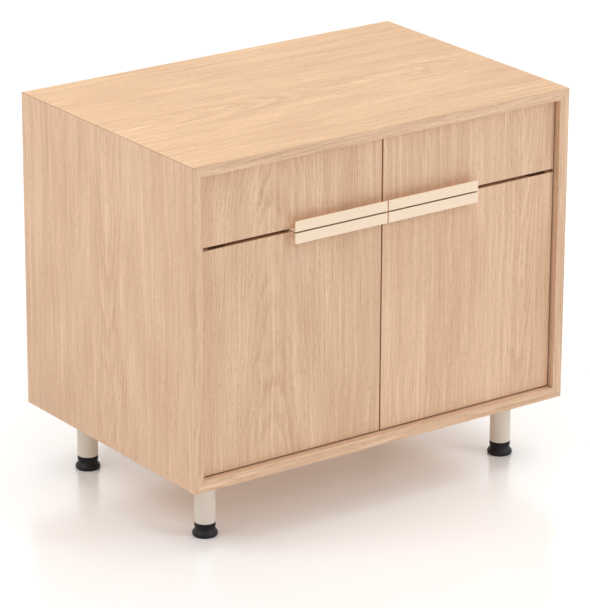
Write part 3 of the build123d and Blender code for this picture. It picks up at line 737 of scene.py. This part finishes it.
def threadedStud(corner):
    low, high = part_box(corner + "_foot_stud")
    middle = (low + high) / 2
    outer = (high.x - low.x) / 2
    inner = outer - studThread["depth"]
    taper = studThread["endTaper"]
    bm = bmesh.new()
    # a rod with rings of points, each ring's radius following the thread
    steps = studThread["stepsInTurn"]
    count = int((high.z - low.z) * studThread["stepsInPitch"] / studThread["pitch"])
    rise = (high.z - low.z) / count
    ring = bmesh.ops.create_circle(bm, segments=steps, radius=1.0, cap_ends=True)["verts"]
    bmesh.ops.translate(bm, verts=ring, vec=(0, 0, low.z))
    for _ in range(count):
        lid = max(bm.faces, key=lambda face: (len(face.verts) == steps, face.calc_center_median().z))
        grown = bmesh.ops.extrude_discrete_faces(bm, faces=[lid])["faces"]
        bmesh.ops.translate(bm, verts=grown[0].verts, vec=(0, 0, rise))
    # the grown rod is still open below
    rim = [edge for edge in bm.edges if edge.is_boundary]
    bmesh.ops.holes_fill(bm, edges=rim, sides=len(rim))
    for vert in bm.verts:
        turn = math.atan2(vert.co.y, vert.co.x) / math.tau
        wave = abs(2 * ((vert.co.z / studThread["pitch"] - turn) % 1.0) - 1.0)
        share = min(1.0, wave * (1 + studThread["crest"] / studThread["depth"]))
        fromEnd = min(vert.co.z - low.z, high.z - vert.co.z)
        radius = inner + (outer - inner) * share * min(1.0, fromEnd / taper)
        vert.co.x *= radius
        vert.co.y *= radius
    bmesh.ops.translate(bm, verts=bm.verts, vec=(middle.x, middle.y, 0))
    stud = finishMesh(bm, corner + "_threaded_stud", skins["screwSteel"])
    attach(stud, corner + "_leveller")
    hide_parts(corner + "_foot_stud")


# Weld beads where each leg's tube meets its plate, in metres
weldBead = {
    "plate": 0.003,
    "tubeRadius": 0.01775,
    "radius": 0.0022,
    "ripples": 44,
    "stepsInRipple": 4,
    "rippleHeight": 0.00025,
    "sides": 8,
}


def legWeld(corner):
    low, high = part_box(corner + "_leg")
    middle = (low + high) / 2
    plateUnder = high.z - weldBead["plate"]
    tube = weldBead["tubeRadius"]
    bm = bmesh.new()
    # a ring of beads: a circle spun round the tube, then swelled in ripples
    ring = bmesh.ops.create_circle(bm, segments=weldBead["sides"], radius=weldBead["radius"], cap_ends=False)
    bmesh.ops.rotate(bm, verts=ring["verts"], cent=(0, 0, 0), matrix=Matrix.Rotation(math.pi / 2, 3, "X"))
    bmesh.ops.translate(bm, verts=ring["verts"], vec=(tube, 0, 0))
    steps = weldBead["ripples"] * weldBead["stepsInRipple"]
    bmesh.ops.spin(bm, geom=bm.verts[:] + bm.edges[:], cent=(0, 0, 0), axis=(0, 0, 1), angle=math.tau,
                   steps=steps, use_merge=True)
    for vert in bm.verts:
        turn = math.atan2(vert.co.y, vert.co.x)
        swell = 1 + weldBead["rippleHeight"] / weldBead["radius"] * math.cos(turn * weldBead["ripples"])
        across = math.hypot(vert.co.x, vert.co.y) - tube
        stretch = (tube + across * swell) / (tube + across)
        vert.co.x *= stretch
        vert.co.y *= stretch
        vert.co.z *= swell
    bmesh.ops.translate(bm, verts=bm.verts, vec=(middle.x, middle.y, plateUnder))
    bead = finishMesh(bm, corner + "_leg_weld", skins["legPaint"])
    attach(bead, "case")


for corner in corners:
    threadedStud(corner)
    legWeld(corner)
print("threads and welds added")


# Floor and light. The floor looks white to the camera and keeps the shadow.
studio = {
    "floorSize": 24.0,
    "floorSquares": 8,
    "floorTone": colour(252, 254, 255),
    "floorRough": 0.2,
    "floorChange": 0.01,
    "floorSteps": (3.0, 3.0, 3.0),
    "floorShine": 0.9,
    # painted light: the floor glows faintly, lifting its shadows, with a warm tone that stands in for bounce
    # light from the wood
    "floorGlow": 0.06,
    "bounceGlowTone": (1.0, 0.95, 0.92, 1.0),
    "skyTone": (1.0, 0.99, 0.975, 1.0),
    "skyStrength": 0.38,
    "seenTone": (1.0, 1.0, 1.0, 1.0),
    "seenStrength": 1.52,
}

# Soft sources: the place each shines from, its strength, and its angle as a sun or its size as a panel
lamps = {
    "keyFromAbove": {"place": (1.1, 0.5, 4.2), "power": 0.49, "angle": 50, "tone": (1.0, 0.91, 0.83)},
    "keyFromFrontAbove": {"place": (0.4, -1.2, 4.2), "power": 0.80, "angle": 60, "tone": (1.0, 0.99, 0.98)},
    "fillFromLeft": {"place": (-2.3, 0.3, 2.6), "power": 28.5, "size": 1.6, "tone": (1.0, 0.985, 0.995)},
    "fillFromFront": {"place": (2.2, -3.25, 2.35), "power": 35.5, "size": 1.35, "tone": (0.87, 0.935, 1.0)},
}
lampAim = Vector((0.0, 0.0, 0.35))


def makeFloor():
    bm = bmesh.new()
    squares = studio["floorSquares"]
    bmesh.ops.create_grid(bm, x_segments=squares, y_segments=squares, size=studio["floorSize"] / 2)
    material, tree, surface, spot, _ = startMaterial("studioFloor")
    faint = noise(tree, spot, studio["floorSteps"])
    rough = maths(tree, "MULTIPLY_ADD", faint, studio["floorChange"], studio["floorRough"])
    feed(tree, surface.inputs["Base Color"], studio["floorTone"])
    feed(tree, surface.inputs["Roughness"], rough)
    surface.inputs["Specular IOR Level"].default_value = studio["floorShine"]
    # painted light: the floor's faint warm glow
    surface.inputs["Emission Color"].default_value = studio["bounceGlowTone"]
    surface.inputs["Emission Strength"].default_value = studio["floorGlow"]
    floor = finishMesh(bm, "studioFloor", material, smooth=False)


def makeWorld():
    world = bpy.data.worlds.new("studioWorld")
    bpy.context.scene.world = world
    world.use_nodes = True
    tree = world.node_tree
    tree.nodes.clear()
    rays = tree.nodes.new("ShaderNodeLightPath").outputs
    mirrored = maths(tree, "MAXIMUM", rays["Is Glossy Ray"], rays["Is Transmission Ray"])
    seen = maths(tree, "MAXIMUM", rays["Is Camera Ray"], mirrored)
    lit = place(tree, "ShaderNodeBackground", {
        "Color": studio["skyTone"], "Strength": studio["skyStrength"],
    })
    shown = place(tree, "ShaderNodeBackground", {
        "Color": studio["seenTone"], "Strength": studio["seenStrength"],
    })
    mixed = place(tree, "ShaderNodeMixShader", {0: seen, 1: lit.outputs[0], 2: shown.outputs[0]})
    output = tree.nodes.new("ShaderNodeOutputWorld")
    tree.links.new(mixed.outputs[0], output.inputs["Surface"])


def makeLamp(name, look):
    isSun = "angle" in look
    data = bpy.data.lights.new(name, "SUN" if isSun else "AREA")
    data.energy = look["power"]
    data.color = look["tone"]
    if isSun:
        data.angle = math.radians(look["angle"])
    else:
        data.shape = "DISK"
        data.size = look["size"]
    lamp = bpy.data.objects.new(name, data)
    spot = Vector(look["place"])
    lamp.location = spot
    lamp.rotation_euler = (lampAim - spot).to_track_quat("-Z", "Y").to_euler()
    bpy.context.scene.collection.objects.link(lamp)


makeFloor()
makeWorld()
for name, look in lamps.items():
    makeLamp(name, look)
bpy.context.scene.view_settings.view_transform = "Standard"
print("studio ready")
